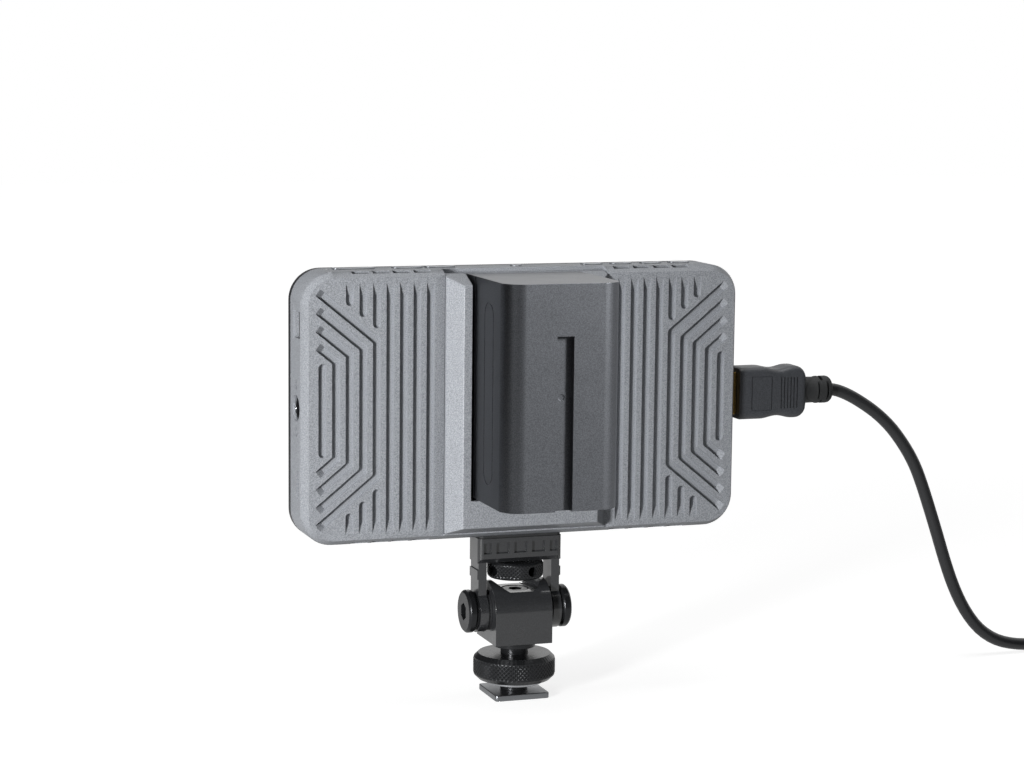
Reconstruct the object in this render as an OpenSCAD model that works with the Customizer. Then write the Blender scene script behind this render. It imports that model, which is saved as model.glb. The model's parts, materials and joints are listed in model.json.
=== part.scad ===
// Small camera field monitor, seen from behind: a shallow metal-look case with a camcorder battery on
// its back, carried on a tilting and panning shoe mount, with its video cable plugged into one side.
// Frame: origin at the middle of the shoe foot's underside, +Z up, screen towards -Y, battery towards +Y.

/* [Case] */
// Width of the case
case_w = 147.4; // [143:0.1:160]
// Height of the case
case_h = 86.6; // [85:0.1:100]
// Depth of the case, glass to back
case_d = 19; // [19:0.1:24]
// Radius of the case's four corners
case_r = 10; // [9.5:0.1:11]
// Thickness of the case's side walls
case_wall = 1.6; // [1.3:0.1:2]
// Thickness of the grooved back wall
back_wall = 3.2; // [2.4:0.1:3.6]
// Width of the bevel round the back face
bevel_w = 1.8; // [0.8:0.1:2.2]
// Depth of the bevel round the back face
bevel_d = 3.5; // [2:0.1:4]
// Depth of the front bezel
bezel_d = 3; // [2.5:0.1:3.5]

/* [Grooves] */
// Width of a groove in the back
groove_w = 2.7; // [1.5:0.1:3.2]
// Depth of a groove in the back
groove_d = 1.4; // [0.6:0.1:1.6]
// Distance from one groove to the next
groove_pitch = 4.4; // [3.8:0.1:4.6]
// Distance from the middle of the case to its first groove
groove_x = 32.25; // [32:0.05:34]
// Half height of the tall grooves
groove_half = 39.9; // [37:0.1:40.5]
// Length of the ramp at a groove's outer end
groove_ramp = 4.2; // [2:0.1:6]
// Radius of the corners at a groove's ramped end
groove_corner = 0.5; // [0.2:0.1:0.7]
// Angle of the slanted grooves
groove_angle = 39.3; // [36:0.1:41]

/* [Battery recess] */
// Half width of the recess
recess_half = 27.4; // [26.5:0.1:27.8]
// Depth of the recess below the back face
recess_d = 6.2; // [5.4:0.1:6.4]
// Thickness of the wall behind the recess
recess_wall = 1.6; // [1:0.1:1.8]
// Height of the lip below the recess
recess_lip = 2.2; // [1.8:0.1:3]
// Width of the sloped border beside the recess
recess_slope = 3.4; // [1:0.1:3.5]
// Thickness of the battery plate
plate_t = 2; // [1.6:0.1:2.4]
// Height of the battery's raised surround above the case's back
surround_up = 5.4; // [4:0.1:6]
// Width of the slopes along the surround's two sides
surround_side = 4.3; // [3:0.1:4.8]
// Height of the slope at the surround's upper end
surround_head = 3; // [2:0.1:5]
// Height of the slope at the surround's lower end
surround_foot = 2.3; // [1.5:0.1:4]
// Gap between the battery and its surround
surround_gap = 0.9; // [0.6:0.1:1.2]

/* [Battery] */
// Width of the battery
batt_w = 38.4; // [38.4:0.1:40]
// Thickness of the battery
batt_d = 39.5; // [39.5:0.1:42]
// Length of the battery
batt_h = 70.8; // [70.6:0.1:74]
// Radius of the battery's two outer edges
batt_r = 6.5; // [3:0.1:7]
// Wall of the battery's shell
batt_wall = 0.8; // [0.6:0.05:0.8]
// Height of the battery's lower end above the case's lower edge
batt_lift = 14.3; // [13.6:0.1:15]
// Diameter of a battery cell
cell_dia = 18; // [17.6:0.1:18]
// Length of the battery that its cells don't fill
cell_ends = 5.8; // [5.8:0.1:10]
// Depth of the groove in the battery's outer face
key_d = 2.4; // [1:0.1:2.5]
// Width of the groove in the battery's outer face
key_w = 5.5; // [3:0.1:5.6]
// Gap between the battery and its plate
batt_gap = 0.3; // [0.2:0.05:0.4]

/* [Screen] */
// Thickness of the cover glass
glass_t = 1.1; // [0.8:0.1:1.4]
// Border of the bezel round the glass
glass_border = 3.2; // [2.4:0.1:4]
// Distance from the case's side to the display panel
lcd_side = 9.95; // [9.7:0.05:13.7]
// Distance from the case's top to the display panel
lcd_above = 6.8; // [6.8:0.1:8.3]
// Thickness of the display panel
lcd_t = 2; // [1.6:0.1:2.2]
// Thickness of the backlight
light_t = 2.8; // [2.4:0.1:2.8]
// Thickness of the middle frame
frame_t = 1; // [0.8:0.1:1.1]
// Height of the board's standoffs
standoff = 1; // [0.8:0.1:1.1]
// Thickness of the circuit boards
board_t = 1.2; // [0.8:0.1:1.2]

/* [Keys] */
// Distance of the key row from the middle of the case
key_y = -2.5; // [-2.6:0.05:-2.4]
// Depth of a key
key_deep = 3.6; // [3:0.1:3.8]
// Height of a key above the case
key_up = 0.5; // [0.5:0.1:1]
// Travel of a key
key_travel = 0.5; // [0.3:0.1:0.6]
// Gap round a key
key_gap = 0.15; // [0.1:0.05:0.2]
// Depth of a key's dished top
key_dish = 0.25; // [0.1:0.05:0.3]

/* [Mount] */
// Width of the shoe foot
foot_w = 18.5; // [18:0.1:18.6]
// Thickness of the shoe foot
foot_t = 2; // [1.8:0.1:2.1]
// Room for the camera's shoe rails
clamp_room = 2.4; // [2:0.1:3]
// Thickness of the lock washer
lock_washer_t = 1.2; // [1:0.1:2]
// Radius of the lock wheel
wheel_r = 13.5; // [11:0.1:15]
// Thickness of the lock wheel
wheel_t = 8.45; // [6:0.05:10]
// Radius of the threaded stem
stem_r = 4.5; // [4:0.1:5]
// Free stem above the lock wheel
stem_free = 2.2; // [1:0.1:4]
// Thickness of the stem's flange
flange_t = 1.7; // [1.2:0.1:3]
// Thickness of the swivel washer
swivel_washer_t = 0.5; // [0.3:0.1:1]
// Half width of the hinge block
block_half = 9.7; // [9.3:0.1:10.5]
// Radius of the hinge block's rounded top
block_r = 9.8; // [9.4:0.1:10]
// Height of the tilt axis above the block's underside
block_drop = 10.15; // [10:0.05:12]
// Thickness of the friction washers
friction_t = 1.35; // [1:0.05:1.6]
// Thickness of a fork arm
arm_t = 2.8; // [2:0.1:3.4]
// Height from the tilt axis to the fork's platform
arm_l = 16.4; // [16.2:0.1:22]
// Thickness of the fork's platform
deck_t = 8.2; // [7.6:0.1:10]
// Half width of the fork's platform
deck_half = 14.3; // [14:0.1:16]
// Half depth of the fork's platform
deck_deep = 5.5; // [5:0.1:7]
// Thickness of the grip pad
pad_t = 1; // [0.6:0.1:1.5]
// Radius of the thumb wheel
thumb_r = 9.25; // [7:0.05:9.4]
// Thickness of the thumb wheel
thumb_t = 5.4; // [4:0.1:5.6]
// Radius of the screw stud's thread
stud_r = 3.175; // [3:0.005:3.175]
// Radius of the pivot bolts' shoulders
shoulder_r = 4; // [3.5:0.1:4.5]
// Radius of the pivot bolts' heads
cap_r = 7; // [6.4:0.1:7.5]
// Thickness of the pivot bolts' heads
cap_t = 3.1; // [2.6:0.1:4]
// Running clearance of a round fit
run_gap = 0.06; // [0.03:0.01:0.09]
// Gap between faces that turn on each other
face_gap = 0.05; // [0.03:0.01:0.1]

/* [Cable] */
// Diameter of the cable
cable_dia = 4.2; // [3.6:0.1:4.3]
// Height of the video plug's body
plug_h = 17.4; // [16:0.1:18]
// Thickness of the video plug's body
plug_d = 10.5; // [9:0.1:12]
// Length of the video plug's body
plug_l = 24.2; // [20:0.1:26]
// Length of the strain relief
relief_l = 10.6; // [8:0.1:14]
// Length of the plug's metal shell
shell_l = 14; // [12:0.1:14]
// Gap between the plug's body and the case
plug_gap = 2.9; // [1.8:0.1:3.2]
// Turns of the stored coil in each of its two layers
coil_turns = 1.875; // [1.375:0.5:2.375]
// Distance from one turn of the coil to the next
coil_pitch = 4.8; // [4.7:0.05:5.2]
// Radius of the coil's outermost turn
coil_r = 27.4; // [26:0.1:29]

/* [Hidden] */
$fn = 48;
eps = 0.1;

// Heights of the mount, from the foot up
washer_z = foot_t + clamp_room;
wheel_z = washer_z + lock_washer_t + face_gap;
flange_z = wheel_z + wheel_t + stem_free;
flange_top = flange_z + flange_t;
block_z = flange_top + swivel_washer_t + face_gap;
pivot_z = block_z + block_drop;
deck_z = pivot_z + arm_l;
pad_z = deck_z + deck_t;
case_z = pad_z + pad_t;
case_top = case_z + case_h;
mid_z = case_z + case_h / 2;

// Widths of the mount, from the block out
arm_in = block_half + friction_t + face_gap;
arm_out = arm_in + arm_t;
cap_x = arm_out + face_gap + 0.6;
bolt_end = 4.9;
bolt_r = 3;
swivel_r = 2.5;
dish_z = pivot_z + 6.8;
head_z = pivot_z + 1.6;
head_r = 4.25;
head_t = 5;
rib_pitch = 6.1;
thumb_z = deck_z - 0.2 - thumb_t;
insert_r = 4.2;
insert_bottom_r = 3.9;
thread_r = stud_r + 0.025 + 0.05;
thread_l = 6.2;

// Widths and heights inside the case
half_w = case_w / 2;
lcd_w = case_w - 2 * lcd_side;
lcd_h = case_h - 2 * lcd_above;
lcd_gap = 0.4;
skirt_gap = 0.3;
skirt_t = 1.2;

// Depths of the case, from the screen back
front_y = -case_d / 2;
back_y = case_d / 2;
glass_y = front_y + glass_t;
lcd_y = glass_y + lcd_t;
light_y = lcd_y + light_t;
frame_y = light_y + frame_t;
board_y = frame_y + standoff;
board_back = board_y + board_t;
seam_y = front_y + bezel_d;
wall_y = back_y - back_wall;
floor_y = back_y - recess_d;
house_y = floor_y - recess_wall;
plate_y = floor_y + plate_t;
batt_y = plate_y + batt_gap;
batt_out = batt_y + batt_d;
base_out = batt_y + 8.5;
batt_z = case_z + batt_lift;
batt_top = batt_z + batt_h;
inner_half = half_w - case_wall;
recess_z = case_z + recess_lip;
plate_gap = 0.2;
plate_top = case_top - 1.4;
roof_z = case_top - case_wall;

// Case screws, board and ports
boss_x = inner_half - 4.9;
boss_z = case_h / 2 - 7;
boss_r = 2.6;
screw_r = 1;
screw_l = 5;
screw_head_t = 1;
head_screw_r = 1.8;
board_half = inner_half - 2.1;
board_high = case_h / 2 - 13.3;
board_marks = [for (x = [-1, 0, 1], z = [-1, 1]) [x * (board_half - 20), z * (board_high - 5)]];
port_y = 1.7;
jack_z = case_top - 16.7;
jack_h = 8.6;
jack_l = 9.6;
jack_half = 4.6;
socket_l = 11.6;
jack_w = 7.2;
usb_y = 2.3;
usb_z = case_z + 19.15;
usb_w = 9;
usb_h = 3.2;
side_y = 0.8;
locate_pitch = 15;
locate_r = 1.6;
locate_l = 4.5;
side_block = 10.2;
side_x = inner_half - 7.1;
plug_z = mid_z - 0.3;
video_w = 13.9;
video_h = 4.45;
video_gap = 0.1;
ledge_half = 8;
ledge_top = case_z + 6.7;

// Keys from the left of the back view to the right: place, length
KEYS = [
    [half_w - 19.4, 13.6], [half_w - 37.1, 9.8], [half_w - 48.1, 9.8], [0, 0],
    [47.6 - half_w, 7], [37.5 - half_w, 7], [27 - half_w, 7], [17 - half_w, 7]
];
round_key_r = 1.9;
flange_x = 0.4;
flange_y = 0.6;
flange_h = 0.8;
key_z = roof_z - 0.1 - flange_h;
key_stem = 0.8;
switch_top = key_z - key_stem - key_travel - 0.1;
switch_h = 1.6;
keyboard_t = 1;
keyboard_z = switch_top - switch_h - keyboard_t;
keyboard_end = half_w - 11.7;
light_x = half_w - 10.5;
light_r = 1;

// Rails that the battery hangs on, and its contacts
rail_x = 15.3;
rail_stem = 1.4;
rail_head = 4;
rail_z0 = batt_z + 5.4;
rail_l = 30;
rail_gap = 0.2;
screw_x = 8;
screw_z = 22;
cell_x = cell_dia / 2 + 0.35;
cell_room = 0.05;
cell_y1 = batt_y + 11.05;
cell_y2 = batt_out - batt_wall - cell_dia / 2 - 0.05;
cell_z = batt_z + 4;
cell_l = batt_h - cell_ends;
pcb_z = batt_z + 3.2;
pcb_t = 0.8;
terminal_z = batt_z + 0.4;
blade_x = 6;

// Vent slits at both long edges: places across the case
VENTS = [54.6, 47.8, 41.2, 34.3, -33, -39.9, -46.9, -53.5];
vent_w = 5.6;
vent_y = [5.6, 7.4];
vent_deep = 3.4;

// Route of the free cable, from the strain relief down to the surface
coil_floor = 0.5;
ROUTE = [
    [-111.4, 0, 97.3], [-115, 0, 96.6], [-119.6, 0, 94.7], [-125, 0, 91.6], [-130.4, 0, 87.8],
    [-135.9, 0, 82.7], [-141.2, -0.1, 76], [-145.1, -0.3, 69.7], [-148.2, -0.6, 63], [-151.6, -1, 54.5],
    [-155.2, -1.4, 45], [-158.9, -1.8, 35], [-163, -2.3, 25.5], [-167.9, -2.8, 17], [-174, -3.3, 9.9],
    [-181.4, -3.7, 5.2], [-190, -3.9, 3], [-199, -4, 2.6], [-207.5, -4, 2.6]
];
ROUTE_OUT = [-1, 0, 0];
run_sides = 10;
coil_sides = 6;
coil_rings = 24;
coil_lead = cable_dia + 1;
route_end = ROUTE[len(ROUTE) - 1];
coil_c = [route_end[0] - coil_lead, route_end[1] + coil_r];
coil_low = coil_floor + cable_dia / 2;
coil_inner = coil_r - coil_pitch * coil_turns;
coil_all = 2 * coil_turns + 0.5;
lead_steps = 3;

// ---- shapes used by several pieces ----

// Rectangle with round corners
module rounded(w, h, r) {
    square([w - 2 * r, h], center = true);
    square([w, h - 2 * r], center = true);
    for (x = [-1, 1], z = [-1, 1]) {
        translate([x * (w / 2 - r), z * (h / 2 - r)]) circle(r);
    }
}

// Upright slab between two depths, centred on the case
module slab(w, h, r, y0, y1) {
    translate([0, y1, mid_z]) rotate([90, 0, 0]) linear_extrude(y1 - y0) rounded(w, h, r);
}

// Box from its lowest corner to its highest corner
module block(a, b) {
    translate(a) cube(b - a);
}

// Cylinder along X, Y or Z from a point on its axis
module rod_x(p, l, r) {
    translate(p) rotate([0, 90, 0]) cylinder(h = l, r = r);
}
module rod_y(p, l, r) {
    translate(p) rotate([-90, 0, 0]) cylinder(h = l, r = r);
}
module rod_z(p, l, r) {
    translate(p) cylinder(h = l, r = r);
}

// Ring along X
module ring_x(x, y, z, l, r_out, r_in) {
    difference() {
        rod_x([x, y, z], l, r_out);
        rod_x([x - eps, y, z], l + 2 * eps, r_in);
    }
}

// Ring along Z
module ring_z(z, l, r_out, r_in) {
    difference() {
        rod_z([0, 0, z], l, r_out);
        rod_z([0, 0, z - eps], l + 2 * eps, r_in);
    }
}

// Disc along Z with both rims bevelled
module wheel(z, l, r, bevel) {
    translate([0, 0, z]) rotate_extrude() {
        polygon([[0, 0], [r - bevel, 0], [r, bevel], [r, l - bevel], [r - bevel, l], [0, l]]);
    }
}

// ---- case ----

// Outside of the rear cover: rounded slab whose back edge is bevelled all round
module cover_blank() {
    flat_w = case_w - 2 * case_r;
    flat_h = case_h - 2 * case_r;
    start = back_y - bevel_d;
    slab(case_w, case_h, case_r, seam_y, start);
    translate([-flat_w / 2, 0, mid_z]) rotate([90, 0, 90]) linear_extrude(flat_w) {
        polygon([
            [start, -case_h / 2], [back_y, bevel_w - case_h / 2],
            [back_y, case_h / 2 - bevel_w], [start, case_h / 2]
        ]);
    }
    translate([0, 0, mid_z - flat_h / 2]) linear_extrude(flat_h) {
        polygon([
            [-case_w / 2, start], [case_w / 2, start],
            [case_w / 2 - bevel_w, back_y], [bevel_w - case_w / 2, back_y]
        ]);
    }
    for (x = [-1, 1], z = [-1, 1]) {
        translate([x * flat_w / 2, start, mid_z + z * flat_h / 2]) rotate([-90, 0, 0]) {
            cylinder(h = bevel_d, r1 = case_r, r2 = case_r - bevel_w);
        }
    }
}

// End of a groove: square where a ramp leads out of it, else round
module groove_end(ramp) {
    if (ramp > 0) rounded(groove_w, groove_w, groove_corner);
    else circle(groove_w / 2);
}

// Straight groove in the back face between two points, with a ramp at either end
module groove(p, q, ramp_p, ramp_q) {
    run = norm(q - p);
    turn = atan2(q[1] - p[1], q[0] - p[0]);
    r = groove_w / 2;
    translate([p[0], back_y, mid_z + p[1]]) rotate([90, 0, 0]) rotate([0, 0, turn]) intersection() {
        translate([0, 0, -eps]) linear_extrude(groove_d + eps) {
            translate([0, -r]) square([run, groove_w]);
            groove_end(ramp_p);
            translate([run, 0]) groove_end(ramp_q);
        }
        translate([0, r + eps, 0]) rotate([90, 0, 0]) linear_extrude(groove_w + 2 * eps) {
            polygon([
                [-r, -eps], [run + r, -eps], [run + r, 0], [run + r - ramp_q, groove_d],
                [ramp_p - r, groove_d], [-r, 0]
            ]);
        }
    }
}

// Grooves of one wing of the back
module wing() {
    r = groove_w / 2;
    tall = groove_half - r;
    far_x = groove_x + 8 * groove_pitch + r - 0.9;
    for (k = [0 : 3]) {
        x = groove_x + k * groove_pitch;
        groove([x, -tall], [x, tall], groove_ramp, groove_ramp);
    }
    for (i = [0 : 2], s = [-1, 1]) {
        x = groove_x + (4 + i) * groove_pitch;
        groove([x, s * (25.6 + 3.6 * i + r)], [x, s * tall], 0, groove_ramp);
    }
    for (i = [0 : 3]) {
        x = groove_x + (4 + i) * groove_pitch;
        bend = 21.6 - 2.07 * i;
        rise = (far_x - x) * tan(groove_angle);
        groove([x, -bend], [x, bend], 0, 0);
        for (s = [-1, 1]) groove([x, s * bend], [far_x, s * (bend + rise)], 0, groove_ramp / 2);
    }
    x = groove_x + 8 * groove_pitch;
    groove([x, r - 14.8], [x, 14.8 - r], 0, 0);
}

// Hollow of the rear cover, less the walls and bosses that stand in it
module cover_hollow() {
    difference() {
        slab(2 * inner_half, case_h - 2 * case_wall, case_r - case_wall, seam_y - eps, wall_y);
        block([-recess_half - recess_wall, house_y, case_z], [recess_half + recess_wall, back_y, case_top]);
        for (x = [-1, 1], z = [-1, 1]) {
            rod_y([x * boss_x, frame_y, mid_z + z * boss_z], back_y - frame_y, boss_r);
        }
        block([side_x, frame_y + 0.2, mid_z - side_block], [case_w / 2, back_y, mid_z + side_block]);
        block([-ledge_half, light_y - 1.8, case_z], [ledge_half, plate_y, ledge_top]);
    }
}

// Battery recess with its sloped borders, less the ledge over the lower thread
module recess_cut() {
    edge = recess_half - 0.01;
    difference() {
        block([-recess_half, floor_y, recess_z], [recess_half, back_y + 1, case_top + 1]);
        block([-ledge_half, 0, case_z], [ledge_half, plate_y, ledge_top]);
    }
    for (s = [0, 1]) mirror([s, 0, 0]) translate([0, 0, case_z - 1]) linear_extrude(case_h + 2) {
        polygon([
            [edge, back_y - 0.8], [recess_half + recess_slope, back_y],
            [recess_half + recess_slope, back_y + 1], [edge, back_y + 1]
        ]);
    }
}

// Openings in the cover's walls for the ports, keys, light and threads
module cover_ports() {
    wall_x = inner_half - eps;
    out = case_wall + 1;
    rod_x([side_x - eps, side_y, mid_z], 20, insert_r);
    for (s = [-1, 1]) {
        rod_x([half_w - locate_l, side_y, mid_z + s * locate_pitch / 2], 10, locate_r);
    }
    block(
        [wall_x, port_y - jack_w / 2, jack_z - jack_h / 2],
        [wall_x + out, port_y + jack_w / 2, jack_z + jack_h / 2]
    );
    translate([half_w - 0.6, 0, jack_z]) rotate([90, 0, 90]) linear_extrude(1) {
        lip = port_y - jack_w / 2;
        wide = jack_h / 2 + 2.3;
        polygon([[lip + eps, -jack_h / 2], [lip - 1.4, -wide], [lip - 1.4, wide], [lip + eps, jack_h / 2]]);
    }
    translate([wall_x, usb_y, usb_z]) rotate([90, 0, 90]) linear_extrude(out) {
        rounded(usb_h, usb_w, usb_h / 2 - 0.01);
    }
    block(
        [-wall_x - out, -video_h / 2 - 0.8, plug_z - video_w / 2 - 0.8],
        [-wall_x, video_h / 2 + 0.8, plug_z + video_w / 2 + 0.8]
    );
    rod_z([0, 0, case_z - 1], 10, insert_bottom_r);
    for (k = KEYS) translate([k[0], key_y, roof_z - eps]) linear_extrude(out) {
        if (k[1] > 0) rounded(k[1] + 2 * key_gap, key_deep + 2 * key_gap, 1 + key_gap);
        else circle(round_key_r + key_gap);
    }
    rod_z([light_x, key_y, roof_z - eps], out, light_r);
}

module rear_cover() {
    color("slategray") difference() {
        cover_blank();
        cover_hollow();
        recess_cut();
        wing();
        mirror([1, 0, 0]) wing();
        cover_ports();
        for (x = VENTS) {
            for (z = [case_top - vent_deep, case_z - vent_deep]) {
                block([x - vent_w / 2, vent_y[0], z], [x + vent_w / 2, vent_y[1], z + 2 * vent_deep]);
            }
        }
        for (x = [-1, 1], z = [-1, 1]) {
            rod_y([x * boss_x, frame_y - eps, mid_z + z * boss_z], screw_l, screw_r);
            plate_screw_hole(x, z);
        }
    }
}

// Room left round the ledge that holds the lower thread
module ledge_room(y0, y1) {
    block([-ledge_half - 0.3, y0, case_z], [ledge_half + 0.3, y1, ledge_top + 0.2]);
}

// Ring inside the case that locates the bezel, open above for the keys and below for the thread
module bezel_skirt() {
    w = 2 * (inner_half - skirt_gap);
    h = case_h - 2 * (case_wall + skirt_gap);
    r = case_r - case_wall - skirt_gap;
    difference() {
        slab(w, h, r, seam_y - eps, light_y);
        slab(w - 2 * skirt_t, h - 2 * skirt_t, r - skirt_t, seam_y - 1, light_y + 1);
        block([-half_w, seam_y - 1, keyboard_z - 2], [light_x + 1.2, 0, case_top]);
        ledge_room(seam_y - 1, 0);
    }
}

module front_bezel() {
    seat_w = case_w - 2 * glass_border;
    seat_h = case_h - 2 * glass_border;
    color("dimgray") {
        difference() {
            slab(case_w, case_h, case_r, front_y, seam_y);
            slab(lcd_w + 2 * lcd_gap, lcd_h + 2 * lcd_gap, 1, front_y - 1, seam_y + 1);
            slab(seat_w, seat_h, case_r - glass_border, front_y - 1, glass_y);
        }
        bezel_skirt();
    }
}

module cover_glass() {
    w = case_w - 2 * glass_border - 0.1;
    h = case_h - 2 * glass_border - 0.1;
    color("black") slab(w, h, case_r - glass_border - 0.05, front_y, glass_y);
}

module lcd_panel() {
    color("midnightblue") slab(lcd_w, lcd_h, 0.5, glass_y, lcd_y);
}

module backlight() {
    color("whitesmoke") slab(lcd_w, lcd_h, 0.5, lcd_y, light_y);
}

module mid_frame() {
    w = 2 * (inner_half - skirt_gap);
    h = case_h - 2 * (case_wall + skirt_gap);
    y0 = light_y - 1;
    y1 = board_y + 1;
    insert_room = insert_r + 0.4;
    color("silver") difference() {
        union() {
            slab(w, h, case_r - case_wall - skirt_gap, light_y, frame_y);
            for (m = board_marks) rod_y([m[0], frame_y, mid_z + m[1]], standoff, 2);
        }
        block([-half_w, y0, keyboard_z], [half_w, y1, case_top]);
        ledge_room(y0, y1);
        block([side_x - 0.8, y0, mid_z - insert_room], [half_w, y1, mid_z + insert_room]);
        for (m = board_marks) rod_y([m[0], y0, mid_z + m[1]], screw_l, screw_r);
        for (x = [-1, 1], z = [-1, 1]) {
            rod_y([x * boss_x, y0, mid_z + z * boss_z], screw_l, screw_r + 0.1);
        }
    }
}

module case_screws() {
    color("gray") for (x = [-1, 1], z = [-1, 1]) {
        rod_y([x * boss_x, light_y - screw_head_t, mid_z + z * boss_z], screw_head_t, head_screw_r);
        rod_y([x * boss_x, light_y, mid_z + z * boss_z], screw_l, screw_r);
    }
}

// ---- electronics ----

module main_board() {
    low = mid_z - board_high;
    high = mid_z + board_high;
    y0 = board_y - 1;
    y1 = board_back + 1;
    socket_room = video_w / 2 + 0.95;
    color("darkgreen") difference() {
        block([-board_half, board_y, low], [board_half, board_back, high]);
        block([side_x - 0.9, y0, mid_z - side_block - 0.3], [half_w, y1, mid_z + side_block + 0.3]);
        block([inner_half - jack_l - 0.3, y0, jack_z - jack_half - 0.3], [half_w, y1, high + 1]);
        block([-half_w, y0, plug_z - socket_room], [socket_l + 0.3 - inner_half, y1, plug_z + socket_room]);
        for (m = board_marks) rod_y([m[0], y0, mid_z + m[1]], screw_l, screw_r + 0.1);
    }
}

module board_screws() {
    color("silver") for (m = board_marks) {
        rod_y([m[0], board_back, mid_z + m[1]], screw_head_t, head_screw_r);
        rod_y([m[0], light_y, mid_z + m[1]], board_back - light_y, screw_r);
    }
}

// Chips, coils and capacitors: place, width, height, thickness
CHIPS = [
    [-44, 8, 15, 15, 1.4], [-44, -11, 9, 12, 1], [10, 12, 10, 10, 1], [-14, -6, 8, 8, 0.9],
    [46, 10, 6, 6, 1.2], [38, -12, 7, 7, 4], [48, -12, 7, 7, 4], [-35, -20, 5, 5, 3]
];

module board_chips() {
    color("darkslategray") for (c = CHIPS) {
        translate([c[0] - c[2] / 2, board_back, mid_z + c[1] - c[3] / 2]) cube([c[2], c[4], c[3]]);
    }
}

module heat_block() {
    c = CHIPS[0];
    side = c[2] - 3;
    reach = board_back + c[4];
    color("silver") translate([c[0] - side / 2, reach, mid_z + c[1] - side / 2]) {
        cube([side, wall_y - reach, side]);
    }
}

module button_board() {
    color("darkgreen") block(
        [-keyboard_end, key_y - 2.9, keyboard_z],
        [light_x + 1.1, key_y + 3.1, keyboard_z + keyboard_t]
    );
}

module tact_switches() {
    color("silver") for (k = KEYS) translate([k[0], key_y, keyboard_z + keyboard_t]) {
        translate([-2.2, -1.8, 0]) cube([4.4, 3.6, switch_h - 0.4]);
        cylinder(h = switch_h, r = 1.1);
    }
}

// Key number i: cap with a dished top, flange under the roof and stem over its switch
module key(i) {
    k = KEYS[i];
    cap = case_top + key_up;
    long = max(k[1], 2 * round_key_r);
    dish_r = (long * long / 4 + key_dish * key_dish) / (2 * key_dish);
    color("gray") translate([k[0], key_y, 0]) difference() {
        union() {
            if (k[1] > 0) {
                translate([0, 0, key_z]) linear_extrude(flange_h) {
                    rounded(k[1] + 2 * flange_x, key_deep + 2 * flange_y, 1 + flange_x);
                }
                translate([0, 0, key_z]) linear_extrude(cap - key_z) rounded(k[1], key_deep, 1);
            } else {
                rod_z([0, 0, key_z], flange_h, round_key_r + flange_y);
                rod_z([0, 0, key_z], cap - key_z, round_key_r);
            }
            rod_z([0, 0, key_z - key_stem], key_stem, 1.2);
        }
        rod_y([0, -5, cap + dish_r - key_dish], 10, dish_r, $fn = 400);
    }
}

module menu_button() { key(0); }
module up_button() { key(1); }
module down_button() { key(2); }
module power_button() { key(3); }
module function_button_1() { key(4); }
module function_button_2() { key(5); }
module function_button_3() { key(6); }
module function_button_4() { key(7); }

module status_light() {
    top = keyboard_z + keyboard_t;
    color("white") rod_z([light_x, key_y, top], case_top - 0.1 - top, light_r - 0.05);
}

module side_insert() {
    x0 = side_x - 0.6;
    x1 = half_w - 0.6;
    color("goldenrod") ring_x(x0, side_y, mid_z, x1 - x0, insert_r, stud_r + 0.025);
}

module bottom_insert() {
    color("goldenrod") difference() {
        rod_z([0, 0, case_z], thread_l, insert_bottom_r);
        rod_z([0, 0, case_z - 1], thread_l + 2, thread_r);
    }
}

module dc_jack() {
    x0 = inner_half - jack_l;
    color("dimgray") difference() {
        block([x0, frame_y, jack_z - jack_half], [inner_half, port_y + 4.3, jack_z + jack_half]);
        rod_x([x0 + 1.6, port_y, jack_z], 20, 2.8);
    }
    color("gold") rod_x([x0 + 1.6 - eps, port_y, jack_z], 7, 0.95);
}

module usb_socket() {
    x0 = inner_half - 8.6;
    half = usb_w / 2 + 0.5;
    color("silver") {
        difference() {
            block([x0, board_back, usb_z - half], [inner_half, usb_y + 2.1, usb_z + half]);
            translate([x0 + 1.6, usb_y, usb_z]) rotate([90, 0, 90]) linear_extrude(20) {
                rounded(usb_h - 0.6, usb_w - 0.6, usb_h / 2 - 0.31);
            }
        }
        block([x0 + 1.5, usb_y - 0.35, usb_z - 3.2], [inner_half - 0.6, usb_y + 0.35, usb_z + 3.2]);
    }
}

module hdmi_socket() {
    x0 = socket_l - inner_half;
    half_w = video_w / 2 + video_gap;
    half_h = video_h / 2 + video_gap;
    color("silver") {
        difference() {
            block([-inner_half, frame_y, plug_z - half_w - 0.5], [x0, half_h + 0.4, plug_z + half_w + 0.5]);
            block([-inner_half - 1, -half_h, plug_z - half_w], [x0 - 0.8, half_h, plug_z + half_w]);
        }
        block([-inner_half + 1, -0.65, plug_z - 5.5], [x0 - 0.7, 0.65, plug_z + 5.5]);
    }
}

// ---- battery plate ----

module plate_screw_hole(x, z) {
    rod_y([x * screw_x, house_y + 0.3, batt_z + batt_h / 2 + z * screw_z], 2, 0.95);
}

module battery_plate() {
    half = recess_half - plate_gap;
    color("slategray") difference() {
        union() {
            block([-half, floor_y, recess_z], [half, plate_y, plate_top]);
            for (s = [-1, 1]) {
                block(
                    [s * rail_x - rail_stem / 2, floor_y, rail_z0],
                    [s * rail_x + rail_stem / 2, plate_y + 2.3, rail_z0 + rail_l]
                );
                block(
                    [s * rail_x - rail_head / 2, plate_y + 1.4, rail_z0],
                    [s * rail_x + rail_head / 2, plate_y + 2.3, rail_z0 + rail_l]
                );
            }
        }
        block([-ledge_half - 0.15, 0, case_z], [ledge_half + 0.15, plate_y + 1, ledge_top + 0.15]);
        for (x = [-1, 1], z = [-1, 1]) {
            at = [x * screw_x, 0, batt_z + batt_h / 2 + z * screw_z];
            rod_y(at + [0, floor_y - 1, 0], screw_l, 1.05);
            rod_y(at + [0, plate_y - screw_head_t, 0], screw_l, head_screw_r + 0.1);
        }
    }
}

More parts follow.
